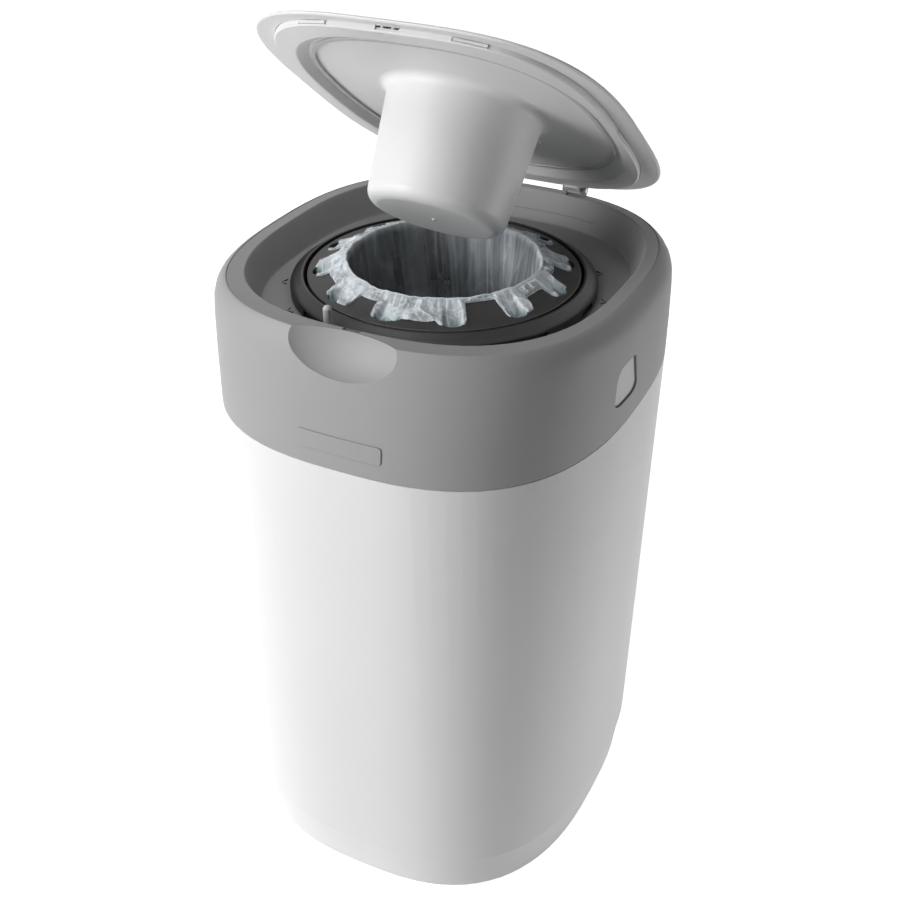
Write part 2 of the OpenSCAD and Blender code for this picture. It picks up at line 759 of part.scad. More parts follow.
// ---------------------------------------------------------------- cassette
tray_top = cap_z - 0.05;
module cassette_tray() {
  color(black_c) on_axis() rotate_extrude($fn = 144) polygon([
    [core_r, cas_z], [tray_r, cas_z], [tray_r, tray_top], [tray_r - cassette_wall, tray_top],
    [tray_r - cassette_wall, cas_z + cassette_wall],
    [core_r + cassette_wall, cas_z + cassette_wall],
    [core_r + cassette_wall, tip_z - 3.2], [core_r + 0.7, tip_z - 2.4], [core_r, tip_z - 3]]);
}
module cassette_cap() {
  color(black_c) on_axis() difference() {
    rotate_extrude($fn = 144) polygon([
      [tray_r, cap_z], [tray_r, ring_z1 - 1], [tray_r - 1, ring_z1 - 0.2],
      [gap_r + 1, ring_z1 + 0.8], [tip_r + 0.8, tip_z], [tip_r, tip_z - 0.8],
      [tip_r + 0.6, tip_z - 1.8], [gap_r + 1, ring_z1 - 1.2], [tray_r - 2.4, ring_z1 - 2],
      [tray_r - 2.8, cap_z]]);
    for (i = [0 : n_petals - 1]) rotate([0, 0, petal_pitch*i])
      translate([0, 0, cap_z - 5]) linear_extrude(40) petal_gap(0);
  }
}
// plan of the gap between two petals, inset d
gap_w = 6.4;
module petal_gap(d) {
  polygon(concat([[tip_r - 8, -gap_w + 1.6 + d]],
    [for (k = [-3 : 3]) [gap_end - 4.7 + (4.7 - d)*cos(k*30), (gap_w - d)*sin(k*30)]],
    [[tip_r - 8, gap_w - 1.6 - d]]));
}
module film_pack() {
  color(film_c) on_axis() translate([0, 0, cas_z + cassette_wall + touch])
    rotate_extrude($fn = 96) {
      translate([core_r + cassette_wall + touch, 0])
        square([tray_r - core_r - 2*cassette_wall - 2*touch, 21]);
    }
}

// drawn film: a sleeve over the petal tips and down to a tied bottom, with one
// lobe rising through each gap between petals
lip_r = core_r + 3;
module film_bag() {
  top = tip_z + touch + film_t;
  in_r = core_r - 0.6;
  color(film_c) on_axis() {
    rotate_extrude($fn = 96) polygon([
      [0, film_low], [14, film_low], [in_r - 22, film_low + 8], [in_r - 12, film_low + 34],
      [in_r - 5, cas_z - 70], [in_r, cas_z], [in_r, tip_z - 2.6], [lip_r, tip_z + touch],
      [tip_r + 1.5, tip_z + touch], [tip_r + 2, tip_z + touch + film_t*0.7], [lip_r, top],
      [in_r - film_t, tip_z - 2.2], [in_r - film_t, cas_z], [in_r - 5 - film_t, cas_z - 70],
      [in_r - 12 - film_t, film_low + 34.6], [in_r - 22.6, film_low + 9], [13, film_low + film_t],
      [0, film_low + film_t]]);
    intersection() {
      rotate_extrude($fn = 96) polygon([
        [lip_r, tip_z + touch], [gap_end - 2.4, ring_z1 + 2.4], [gap_end - 2, ring_z1 - 2.4],
        [gap_end - 2 + film_t, ring_z1 - 2.4], [gap_end - 1.7 + film_t, ring_z1 + 2.8],
        [lip_r + 1, top]]);
      for (i = [0 : n_petals - 1]) rotate([0, 0, petal_pitch*i])
        translate([0, 0, cap_z - 20]) linear_extrude(60) petal_gap(touch + 0.1);
    }
  }
}

// ---------------------------------------------------------------- lid
lid_s = rim_shift - 0.2;
liner_s = lid_s + 0.6;

// height of the dome at share q of the way from its middle to its edge
function dome(q) = lid_z + edge_t + crown*(1 - q*q);
dome_q = [0.9, 0.75, 0.58, 0.4, 0.2];
module lid_cover() {
  color(white_c) lid_place() difference() {
    loft(concat([
      [lid_z, lid_x - 1, lid_y - 1, -lid_s],
      [lid_z + 0.9, lid_x, lid_y, -lid_s],
      [lid_z + edge_t - 0.7, lid_x, lid_y, -lid_s],
      [lid_z + edge_t, lid_x - 1.2, lid_y - 1.2, -lid_s]],
      [for (q = dome_q) [dome(q), q*lid_x, q*lid_y, -lid_s]]), lid_full);
    // hollow over the liner
    loft(concat([
      [lid_z - 1, liner_x + 0.3, liner_y + 0.3, -liner_s],
      [dome(0.97) - cover_t, liner_x + 0.3, liner_y + 0.3, -liner_s],
      [dome(0.87) - cover_t, 0.87*lid_x - 1, 0.87*lid_y - 1, -lid_s]],
      [for (q = [0.75, 0.58, 0.4, 0.2])
        [dome(q) - cover_t, q*lid_x - 1, q*lid_y - 1, -lid_s]]), lid_full);
    // notches for the hinges
    for (s = [-1, 1])
      translate([s*hinge_x - notch_w/2, hinge_y - knuckle_r - 1.2, lid_z - 5])
        cube([notch_w, big, big]);
  }
}
notch_w = knuckle_w + 2*ear_t + 2.8;

module lid_liner() {
  color(white_c) lid_place() difference() {
    union() {
      difference() {
        union() {
          // flat band with its outer wall, hollow above
          difference() {
            loft([
              [low_z, liner_x - 0.8, liner_y - 0.8, -liner_s],
              [low_z + 0.8, liner_x, liner_y, -liner_s],
              [lid_z + 0.5, liner_x, liner_y, -liner_s]], lid_full);
            loft([
              [low_z + liner_t, liner_x - liner_t, liner_y - liner_t, -liner_s],
              [lid_z + 2, liner_x - liner_t, liner_y - liner_t, -liner_s]], lid_full);
          }
          // back of the dished floor
          loft([
            [low_z + 0.2, groove_x + liner_t, groove_y + liner_t, -liner_s],
            [floor_z + 0.8, dish_x + 2.8, dish_y + 2.8, -liner_s],
            [floor_z + liner_t, dish_x + 1, dish_y + 1, -liner_s]]);
        }
        // dished floor
        loft([
          [low_z - 1, groove_x + 0.6, groove_y + 0.6, -liner_s],
          [low_z, groove_x, groove_y, -liner_s],
          [low_z + 0.9, groove_x - 1.2, groove_y - 1.8, -liner_s],
          [floor_z - 0.8, dish_x + 0.8, dish_y + 1, -liner_s],
          [floor_z, dish_x - 0.6, dish_y - 0.8, -liner_s]]);
        // opening over the plunger
        on_axis() translate([0, 0, floor_z - 1])
          cylinder(r = cup_r, h = 20, $fn = 96);
      }
      plunger_root();
      for (s = [-1, 1]) knuckle(s);
      // moulded nub near the plunger
      translate([34, 44, floor_z - 1.6]) cylinder(r = 2, h = 2, $fn = 24);
    }
    catch_pocket();
    for (i = [0 : 3]) clip_place(i) translate([-clip_l/2 - 1, -clip_d, -1.3])
      cube([clip_l + 2, 6, 2.6]);
    for (s = [-1, 1]) translate([s*hinge_x - 12, hinge_y, hz]) rotate([0, 90, 0])
      cylinder(r = pin_r + run_gap, h = 24, $fn = 48);
  }
}
// rounded root round the opening that the push-down cup hangs in
cup_r = plunger_r + plunger_draft;
cup_top = floor_z - root_fil;
module plunger_root() {
  g = root_fil;
  on_axis() rotate_extrude($fn = 96) polygon(concat(
    [for (k = [0 : 6]) [cup_r + g - g*cos(k*15), cup_top + g*sin(k*15)]],
    [[cup_r + g, floor_z + liner_t], [cup_r - liner_t, floor_z + liner_t],
      [cup_r - liner_t, cup_top]]));
}
// push-down cup, hollow and open to the inside of the lid
module lid_plunger() {
  f = plunger_fil;
  in_r = cup_r - liner_t - touch;
  color(white_c) lid_place() on_axis() {
    rotate_extrude($fn = 96) polygon(concat(
      [[0, plunge_z], [plunger_r - f, plunge_z]],
      [for (k = [1 : 6]) [plunger_r - f + f*sin(k*15), plunge_z + f - f*cos(k*15)]],
      [[cup_r, cup_top], [in_r, cup_top], [in_r, cup_top + 4], [in_r - liner_t, cup_top + 4],
        [in_r - liner_t, cup_top - 2], [plunger_r - liner_t, plunge_z + f],
        [plunger_r - f, plunge_z + liner_t], [0, plunge_z + liner_t]]));
    translate([0, 0, plunge_z - 0.6]) cylinder(r = 1.8, h = 1, $fn = 24);
  }
}
module knuckle(s) {
  translate([s*hinge_x - knuckle_w/2, hinge_y, hz]) rotate([0, 90, 0])
    cylinder(r = knuckle_r, h = knuckle_w, $fn = 48);
  translate([s*hinge_x - knuckle_w/2, liner_y - liner_s - 3, hz - 2.4])
    cube([knuckle_w, hinge_y - liner_y + liner_s + 3, lid_z - hz + 2]);
}

// pocket in the liner's front wall for the lid catch
catch_w = 15;
module catch_pocket() {
  translate([-catch_w/2 - touch, -liner_y - liner_s - 2, low_z + 1.2])
    cube([catch_w + 2*touch, liner_y + liner_s + 2 - slot_y + 2.4, liner_h + 4]);
  translate([-4.5 - touch, -slot_y - 0.8 - touch, low_z - 1])
    cube([9 + 2*touch, 1.6 + 2*touch, 6]);
}

// soft seal at the foot of the dished floor's slope
module lid_seal() {
  color([0.62, 0.62, 0.63]) lid_place() difference() {
    loft([
      [floor_z - 1.6, dish_x - 2, dish_y - 2, -liner_s],
      [floor_z - touch, dish_x - 2, dish_y - 2, -liner_s]]);
    loft([
      [floor_z - 2, dish_x - 4.6, dish_y - 4.6, -liner_s],
      [floor_z + 1, dish_x - 4.6, dish_y - 4.6, -liner_s]]);
  }
}

// places of the four snap clips on the liner's wall, +Y inward
clip_l = 20;
clip_d = 1.6;
function on_liner(t) = let (c = cos(t), v = sin(t), n = lid_full)
  [liner_x*sign(c)*pow(abs(c), 2/n), -liner_s + liner_y*sign(v)*pow(abs(v), 2/n)];
clip_t0 = [-73, -107, 0, 180];
clip_a = [13, -13, 90, -90];
module clip_place(i) {
  q = on_liner(clip_t0[i]);
  translate([q[0], q[1], low_z + 2.2]) rotate([0, 0, clip_a[i]]) mirror([0, 1, 0])
    children();
}
module lid_clips() {
  color(white_c) lid_place() for (i = [0 : 3]) clip_place(i)
    translate([-clip_l/2, -clip_d + touch, -0.9]) cube([clip_l, 1.5, 1.8]);
}

// lid catch: base with two small bosses, and a short keeper in the liner's band
module lid_catch() {
  color(white_c) lid_place() {
    translate([-4.5, -slot_y - 0.8, low_z + 0.2]) cube([9, 1.6, 1.7]);
    translate([-catch_w/2, -liner_y - liner_s + 1.2, low_z + 1.2 + touch])
      cube([catch_w, liner_y + liner_s - slot_y + 0.8, 1.6]);
    for (s = [-1, 1]) translate([s*3.4, -slot_y - 1, low_z + 2.6])
      cylinder(r = 1.2, h = liner_h - 2, $fn = 24);
  }
}

tub();
catch_clip_r();
catch_clip_l();
collar();
front_pad();
deck();
deck_screws();
hinge_pin_r();
hinge_pin_l();
release_spring_r();
release_spring_l();
click_spring();
release_r();
release_l();
click_finger();
carrier();
cassette_tray();
cassette_cap();
film_pack();
film_bag();
lid_cover();
lid_liner();
lid_plunger();
lid_seal();
lid_clips();
lid_catch();
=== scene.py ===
# Twist-and-seal nappy bin: white tub, grey collar, turning black ring that
# carries a film cassette, and a white lid with a push-down plunger.
# Metres, +Z up, origin on the floor under the middle, front towards -Y.
import json
from math import cos, pi, radians, sin, sqrt

import bmesh
import bpy
from mathutils import Matrix, Vector, noise


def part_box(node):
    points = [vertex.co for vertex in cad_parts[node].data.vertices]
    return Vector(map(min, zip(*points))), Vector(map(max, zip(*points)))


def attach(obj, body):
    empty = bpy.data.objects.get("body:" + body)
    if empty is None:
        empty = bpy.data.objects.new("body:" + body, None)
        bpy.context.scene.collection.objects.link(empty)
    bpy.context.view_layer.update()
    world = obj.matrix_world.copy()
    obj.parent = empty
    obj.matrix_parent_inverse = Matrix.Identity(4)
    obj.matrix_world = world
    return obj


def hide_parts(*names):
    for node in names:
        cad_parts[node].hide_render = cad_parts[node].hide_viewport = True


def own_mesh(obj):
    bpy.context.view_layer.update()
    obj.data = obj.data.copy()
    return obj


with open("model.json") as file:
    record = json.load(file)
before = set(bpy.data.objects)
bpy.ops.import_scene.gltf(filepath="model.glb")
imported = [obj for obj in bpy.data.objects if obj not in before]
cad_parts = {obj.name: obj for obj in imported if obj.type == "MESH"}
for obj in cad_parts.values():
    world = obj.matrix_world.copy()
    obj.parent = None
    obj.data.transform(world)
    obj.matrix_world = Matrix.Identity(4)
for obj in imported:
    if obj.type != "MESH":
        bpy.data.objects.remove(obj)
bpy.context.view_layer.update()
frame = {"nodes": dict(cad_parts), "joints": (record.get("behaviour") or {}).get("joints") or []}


# ---------------------------------------------------------------- camera
# The bin is seen from the front and a little to its right, from above, from
# about a metre away with a standard lens.
turn, rise = radians(26.33), radians(31.84)
away = 0.9662
aim_right, aim_height = -0.00336, 0.2954
picture_px, focal_px = 900, 1312.9
shift_px = (4.5, -5.5)
sensor_mm = 36
right = Vector((cos(turn), sin(turn), 0))
back = Vector((sin(turn) * cos(rise), -cos(turn) * cos(rise), sin(rise)))
aim = right * aim_right + Vector((0, 0, aim_height))
lens = bpy.data.cameras.new("camera")
lens.lens = focal_px * sensor_mm / picture_px
lens.sensor_width = sensor_mm
lens.shift_x = shift_px[0] / picture_px
lens.shift_y = shift_px[1] / picture_px
camera = bpy.data.objects.new("camera", lens)
bpy.context.scene.collection.objects.link(camera)
up = back.cross(right)
camera.matrix_world = Matrix((
    (right.x, up.x, back.x, 0), (right.y, up.y, back.y, 0),
    (right.z, up.z, back.z, 0), (0, 0, 0, 1)))
camera.location = aim + back * away
bpy.context.scene.camera = camera
bpy.context.scene.view_settings.view_transform = "Standard"


# ---------------------------------------------------------------- floor
# A pale seamless floor of matt paper. To the eye it reads as clean white,
# and it keeps the soft shadow that the bin throws.
floor_gap = 0.0004
floor_mesh = bpy.data.meshes.new("studio_floor")
paper = bmesh.new()
bmesh.ops.create_grid(paper, x_segments=4, y_segments=4, size=12)
paper.to_mesh(floor_mesh)
paper.free()
studio_floor = bpy.data.objects.new("studio_floor", floor_mesh)
bpy.context.scene.collection.objects.link(studio_floor)
studio_floor.location.z = -floor_gap

paper_white = bpy.data.materials.new("paper_white")
paper_white.use_nodes = True
nodes, links = paper_white.node_tree.nodes, paper_white.node_tree.links
paper_bsdf = nodes["Principled BSDF"]
paper_bsdf.inputs["Base Color"].default_value = (0.8, 0.8, 0.8, 1)
paper_bsdf.inputs["Roughness"].default_value = 0.9
paper_bsdf.inputs["Emission Color"].default_value = (1, 1, 1, 1)


def looked_at(nodes, links):
    """1 where the camera, a mirror-like face or a clear piece looks straight at the paper."""
    path = nodes.new("ShaderNodeLightPath")
    whole = path.outputs["Is Camera Ray"]
    for kind in ("Is Glossy Ray", "Is Transmission Ray"):
        either = nodes.new("ShaderNodeMath")
        either.operation = "MAXIMUM"
        links.new(whole, either.inputs[0])
        links.new(path.outputs[kind], either.inputs[1])
        whole = either.outputs[0]
    return whole


links.new(looked_at(nodes, links), paper_bsdf.inputs["Emission Strength"])
studio_floor.data.materials.append(paper_white)


# ---------------------------------------------------------------- room
# A faint even dome of light all round, which is clean white where the camera
# or a glossy face looks straight at it.
room = bpy.data.worlds.new("room")
room.use_nodes = True
bpy.context.scene.world = room
nodes, links = room.node_tree.nodes, room.node_tree.links
dome = nodes["Background"]
dome.inputs["Color"].default_value = (1, 1, 1, 1)
dome.inputs["Strength"].default_value = 0.035
plain = nodes.new("ShaderNodeBackground")
plain.inputs["Color"].default_value = (1, 1, 1, 1)
plain.inputs["Strength"].default_value = 1.0
pick = nodes.new("ShaderNodeMixShader")
links.new(looked_at(nodes, links), pick.inputs["Fac"])
links.new(dome.outputs[0], pick.inputs[1])
links.new(plain.outputs[0], pick.inputs[2])
links.new(pick.outputs[0], nodes["World Output"].inputs["Surface"])


# ---------------------------------------------------------------- lamps
# Four soft boxes: a broad one in front on the left, a weak one low on the
# right, one overhead in front, and a faint one behind that draws the rims.
def softbox(name, place, look, size, power):
    """A flat lamp of that size in metres and power in watts, at place, turned to look."""
    lamp = bpy.data.lights.new(name, "AREA")
    lamp.shape = "RECTANGLE"
    lamp.size, lamp.size_y = size
    lamp.energy = power
    box = bpy.data.objects.new(name, lamp)
    bpy.context.scene.collection.objects.link(box)
    box.location = place
    box.rotation_euler = (Vector(look) - Vector(place)).to_track_quat("-Z", "Y").to_euler()
    return box


softbox("key_left", (-1.35, -1.65, 0.9), (0, 0, 0.35), (0.9, 1.4), 38.5)
edge_right = softbox("edge_right", (1.15, 0.45, 0.03), (0, 0, 0.13), (0.5, 0.3), 0.8)
edge_right.data.spread = radians(62)
softbox("top_front", (-0.5, -0.85, 2.1), (0, 0, 0.45), (0.8, 0.8), 9)
softbox("top_back", (0.1, 1.4, 1.7), (0, 0, 0.45), (1.4, 0.8), 2)


# ---------------------------------------------------------------- tub
# The tall body: one injection moulding in white polypropylene with a fine
# satin grain, a plinth step at the foot and a foot ring on the floor.
def plastic(name, colour, rough, grain=0.06, mottle=0.02, scuffs=0.0):
    """Moulded plastic: fine grain in the gloss and surface, a faint uneven tone."""
    grain_size = 0.0006
    mat = bpy.data.materials.new(name)
    mat.use_nodes = True
    nodes, links = mat.node_tree.nodes, mat.node_tree.links
    bsdf = nodes["Principled BSDF"]
    bsdf.inputs["IOR"].default_value = 1.48
    place = nodes.new("ShaderNodeTexCoord")
    tone = nodes.new("ShaderNodeTexNoise")
    tone.inputs["Scale"].default_value = 9
    tone.inputs["Detail"].default_value = 3
    links.new(place.outputs["Object"], tone.inputs["Vector"])
    shade = nodes.new("ShaderNodeMix")
    shade.data_type = "RGBA"
    low = [c * (1 - mottle) for c in colour]
    high = [min(1, c * (1 + mottle)) for c in colour]
    shade.inputs["A"].default_value = (*low, 1)
    shade.inputs["B"].default_value = (*high, 1)
    links.new(tone.outputs["Fac"], shade.inputs["Factor"])
    links.new(shade.outputs["Result"], bsdf.inputs["Base Color"])
    fine = nodes.new("ShaderNodeTexNoise")
    fine.inputs["Scale"].default_value = 1 / grain_size
    fine.inputs["Detail"].default_value = 2
    links.new(place.outputs["Object"], fine.inputs["Vector"])
    gloss = nodes.new("ShaderNodeMapRange")
    gloss.inputs["From Min"].default_value = 0.3
    gloss.inputs["From Max"].default_value = 0.7
    gloss.inputs["To Min"].default_value = rough - 0.05
    gloss.inputs["To Max"].default_value = rough + 0.05
    links.new(fine.outputs["Fac"], gloss.inputs["Value"])
    roughness = gloss.outputs["Result"]
    if scuffs:
        # short hairline scuffs from handling
        streak = nodes.new("ShaderNodeTexNoise")
        streak.inputs["Scale"].default_value = 60
        streak.inputs["Detail"].default_value = 6
        stretch = nodes.new("ShaderNodeMapping")
        stretch.inputs["Scale"].default_value = (1, 1, 9)
        links.new(place.outputs["Object"], stretch.inputs["Vector"])
        links.new(stretch.outputs["Vector"], streak.inputs["Vector"])
        rub = nodes.new("ShaderNodeMapRange")
        rub.inputs["From Min"].default_value = 0.58
        rub.inputs["From Max"].default_value = 0.72
        rub.inputs["To Min"].default_value = 0
        rub.inputs["To Max"].default_value = scuffs
        links.new(streak.outputs["Fac"], rub.inputs["Value"])
        add = nodes.new("ShaderNodeMath")
        add.operation = "ADD"
        links.new(roughness, add.inputs[0])
        links.new(rub.outputs["Result"], add.inputs[1])
        roughness = add.outputs[0]
    links.new(roughness, bsdf.inputs["Roughness"])
    bump = nodes.new("ShaderNodeBump")
    bump.inputs["Strength"].default_value = grain
    bump.inputs["Distance"].default_value = 0.0002
    links.new(fine.outputs["Fac"], bump.inputs["Height"])
    links.new(bump.outputs["Normal"], bsdf.inputs["Normal"])
    return mat


def finish_piece(name, shape, body, nodes, material):
    """Puts a finished mesh in the scene, riding on its body for its CAD nodes."""
    piece = bpy.data.objects.new(name, shape)
    bpy.context.scene.collection.objects.link(piece)
    if not shape.materials:
        shape.materials.append(material)
    even = piece.modifiers.new("even_normals", "WEIGHTED_NORMAL")
    even.keep_sharp = True
    even.mode = "FACE_AREA_WITH_ANGLE"
    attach(piece, body)
    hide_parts(*nodes)
    return piece


def moulded(node, edge=0.0005):
    """The node's solid with its loose triangles joined and its edges softened."""
    sharp = radians(38)
    bm = bmesh.new()
    bm.from_mesh(frame["nodes"][node].data)
    bmesh.ops.remove_doubles(bm, verts=bm.verts, dist=0.00002)
    bmesh.ops.dissolve_limit(bm, angle_limit=radians(0.4), verts=bm.verts, edges=bm.edges)
    if edge:
        rims = [e for e in bm.edges
                if len(e.link_faces) == 2 and e.calc_face_angle(0) > sharp]
        bmesh.ops.bevel(bm, geom=rims, offset=edge, offset_type="OFFSET", affect="EDGES",
                        segments=2, profile=0.5, material=-1, clamp_overlap=True)
    for face in bm.faces:
        face.smooth = True
    mesh = bpy.data.meshes.new(node)
    bm.to_mesh(mesh)
    bm.free()
    mesh.set_sharp_from_angle(angle=sharp)
    return mesh


white_shell = plastic("white_shell", (0.80, 0.80, 0.80), 0.42, scuffs=0.10)
finish_piece("tub_shell", moulded("tub"), "tub", ["tub"], white_shell)

# ---------------------------------------------------------------- catch clips
# Two bent strips of bright spring steel on pads inside the tub's wall; their
# hooks hold the upper unit down and give way to a pressed release tongue.
joints = {joint["name"]: joint for joint in frame["joints"]}


def pressed(piece):
    """Gives the piece a mesh of its own; it is not pressed together here."""
    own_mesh(piece)


steel = plastic("spring_steel", (0.55, 0.56, 0.58), 0.28, grain=0.1, mottle=0.05)
steel.node_tree.nodes["Principled BSDF"].inputs["Metallic"].default_value = 1
for side in ("r", "l"):
    clip = finish_piece(f"clip_{side}", moulded(f"catch_clip_{side}", 0.0002), "tub",
                        [f"catch_clip_{side}"], steel)
    pressed(clip)

# ---------------------------------------------------------------- collar
# The grey upper shell, moulded in polypropylene with a finer, drier grain:
# finger scoop in front, release windows at the sides, soft shoulder.
grey_shell = plastic("grey_shell", (0.335, 0.335, 0.338), 0.55, grain=0.10, mottle=0.02)
finish_piece("collar_shell", moulded("collar", 0.0004), "head", ["collar"],
             grey_shell)

# ---------------------------------------------------------------- front pad
# A small bare plate of the collar's own grey plastic, fixed low on the
# collar's front.
finish_piece("front_pad_bare", moulded("front_pad", 0.0003), "head", ["front_pad"],
             grey_shell)

# ---------------------------------------------------------------- deck
# The inner grey moulding, of the same plastic as the collar, with the well,
# the bore for the turning ring, the guides of the release tongues and the
# ears of the hinges. Small arrows stand up on its ledge; their upright sides
# are painted near-black, a painted shade in place of the shadow lines round them.
ledge_z = 0.428
arrow_foot, arrow_top = 0.0001, 0.00095
arrow_in, arrow_out = 0.106, 0.114
axis_y = (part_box("carrier")[0].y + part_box("carrier")[1].y) / 2
# near-black painted shade for the upright sides of the arrows
arrow_shade_paint = plastic("arrow_painted_shade", (0.045, 0.045, 0.048), 0.6)
deck_mesh = moulded("deck", 0.0003)
deck_mesh.materials.append(grey_shell)
deck_mesh.materials.append(arrow_shade_paint)
# the arrows' upright faces take the painted shade, not the grey plastic's own colour
for face in deck_mesh.polygons:
    x, y, z = face.center
    beside = arrow_in < sqrt(x * x + (y - axis_y) ** 2) < arrow_out
    if beside and arrow_foot < z - ledge_z < arrow_top and abs(face.normal.z) < 0.9:
        face.material_index = 1
finish_piece("deck_well", deck_mesh, "head", ["deck"], grey_shell)

# ---------------------------------------------------------------- deck screws
# Six short pan-head steel screws, driven up through the deck's lugs into the
# collar.
finish_piece("screws", moulded("deck_screws", 0.0002), "head", ["deck_screws"], steel)

# ---------------------------------------------------------------- hinge pins
# Two plain turned steel pins, pressed into the deck's ears at the back; the
# lid's knuckles swing on them.
for side in ("r", "l"):
    finish_piece(f"pin_{side}", moulded(f"hinge_pin_{side}", 0.0002), "head",
                 [f"hinge_pin_{side}"], steel)

# ---------------------------------------------------------------- springs
# Coils of bright spring wire: one behind each release tongue, a smaller one
# behind the click finger. In the real bin each shortens as its piece is pushed on to it; here
# each stays as modelled.
for node, joint in (("release_spring_r", "release_r_press"),
                    ("release_spring_l", "release_l_press"),
                    ("click_spring", "click_finger_slide")):
    coil = finish_piece(node + "_coil", moulded(node, 0), "head", [node], steel)
    pressed(coil)

# ---------------------------------------------------------------- release tongues
# Pale grey moulded tongues that show in the collar's side windows; each
# slides inward on a round stem, against its spring.
tongue = plastic("tongue", (0.62, 0.62, 0.62), 0.42)
for side in ("r", "l"):
    finish_piece(f"tongue_{side}", moulded(f"release_{side}", 0.0003), f"release_{side}",
                 [f"release_{side}"], tongue)

# ---------------------------------------------------------------- click finger
# A small moulded post in front on the left whose nose clicks over the ring's
# windows; it slides outward in its guide against a small spring.
finish_piece("finger_post", moulded("click_finger", 0.0003), "click_finger",
             ["click_finger"], tongue)

# ---------------------------------------------------------------- carrier
# The near-black ring that turns in the deck, with twelve shallow windows
# round its wall.
black_ring = plastic("black_ring", (0.008, 0.008, 0.0085), 0.4, grain=0.05, mottle=0.1)
finish_piece("carrier_ring", moulded("carrier", 0.0003), "carrier", ["carrier"],
             black_ring)

# ---------------------------------------------------------------- cassette
# The two black mouldings of the lift-out cassette: a tray with a core tube,
# and a cap with twelve petals snapped on top. Their black is drier and a
# little lighter than the ring's.
dry_black = plastic("dry_black", (0.036, 0.034, 0.033), 0.5, grain=0.08, mottle=0.08)
for name in ("cassette_tray", "cassette_cap"):
    finish_piece(name + "_part", moulded(name, 0.0003), "cassette", [name],
                 dry_black)

# ---------------------------------------------------------------- film
# A sleeve of thin milky film. It comes up through the twelve gaps of the
# cap, is drawn in over the petals to a thin folded lip, and hangs down the
# throat in soft pleats to its tied bottom.
# Lengths are in millimetres, radii from the axis of the ring.
gaps = 12
pitch = 2 * pi / gaps
lip_r, lip_z = 66.3, 449.2
petal_top = 446.8
slope_from, slope_to = 69.6, 82.4
slope_steep, slope_flat = 0.451, 0.11
film_end = 88.2
gap_r, gap_half = 82, 5.9
cap_share = 0.42
# how far out the film reaches over each petal
reach = (73, 74, 76, 76, 75, 76, 72, 77, 74, 82, 70, 76)
# how far it spreads past the gap, on the side of lower and of higher angle
spread = ((2, 1), (5, 4), (4, 4), (3, 5), (4, 3), (5, 4), (3, 3), (9, 2), (3, 8), (3, 2),
          (2, 2), (1, 6))


def ease(low, high, value):
    """0 below low, 1 above high, with a smooth turn between them."""
    share = min(1, max(0, (value - low) / (high - low)))
    return share * share * (3 - 2 * share)


def wave(x, y=0.0, z=0.0):
    """Smooth noise from -1 to 1."""
    return noise.noise(Vector((x, y, z)))


def ridge(x, y=0.0, z=0.0, thin=3):
    """1 along the line of a crease, falling away on both sides."""
    return (1 - abs(wave(x, y, z))) ** (4 * thin)


def hem(around):
    """Radius of the film's outer edge at an angle, how deep in a gap that is, and the lobe."""
    turn = around / pitch
    gap = round(turn)
    off = (turn - gap) * pitch * gap_r
    gap %= gaps
    half = gap_half + spread[gap][0 if off < 0 else 1] * (1 + 0.25 * wave(turn * 9, 3.1))
    cover = reach[gap if off > 0 else gap - 1] + 2.2 * wave(turn * 2.3, 7.7)
    lobe = 1 - ease(half, half + 2.6, abs(off))
    end = film_end + 1.2 * wave(gap * 5.3, 1.9) - 1.6 * (off / half) ** 2 * lobe
    inside = 1 - ease(4.2, 6.6, abs(off))
    return cover + (end - cover) * lobe, inside, lobe


# the throat, from the lip down to the tied bottom
throat = [(66.3, 449.2), (65.5, 449.5), (64.6, 448.9), (63.7, 447.2), (63.2, 443.0), (62.9, 436),
          (62.5, 426), (62.1, 414), (61.5, 400), (60.2, 382), (58.4, 360), (56.2, 338),
          (53.4, 314), (50.6, 290), (47.0, 270), (40.0, 254), (28.0, 245), (14.0, 241.5),
          (4.0, 240.5)]
throat_top, throat_start = 449, 0.014


def over_cap(cx, cy, around, t, lip_in, lip_up):
    """The film from its outer edge, t = 0, in over the petals to the lip, t = 1."""
    edge, inside, lobe = hem(around)
    r = edge + (lip_r + lip_in - edge) * t
    x, y = r * cx, r * cy
    petal = petal_top - max(0, min(r, slope_to) - slope_from) * slope_steep
    petal -= max(0, r - slope_to) * slope_flat
    puff = 0.9 + 0.9 * wave(x * 0.09, y * 0.09, 1.3) + 1.2 * ridge(x * 0.1, y * 0.1, 3.3, 1)
    puff += 0.35 * ridge(x * 0.35, y * 0.35, 8.1, 1)
    sink = -4.2 * ease(70, 88, r) + 0.9 * wave(x * 0.2, y * 0.2, 6.6)
    z = petal + puff * (1 - inside) * (0.35 + 0.65 * ease(0, 0.15, t)) + sink * inside
    z -= 4.5 * lobe * (1 - ease(0, 0.10, t)) ** 2
    z += (lip_z + lip_up - z) * ease(0.72, 1.0, t)
    fold = 0.8 * ridge(x * 0.1, y * 0.1, 3.3, 5) + 0.6 * ridge(x * 0.22, y * 0.22, 8.1, 5)
    fold += 0.8 * ridge(cx * 14, cy * 14, r * 0.015, 3) * ease(0.25, 1, t)
    fold += 0.55 * (1 - ease(0.0, 0.05, t))
    fold += 0.45 * ease(0.955, 1, t)
    milk = 0.74 + 0.30 * wave(x * 0.08, y * 0.08, 2.2) - 0.2 * inside * ease(78, 88, r)
    return r, z, fold, milk * (0.82 + 0.18 * lobe), inside * ease(76, 87, r), (80 - r) / 1000


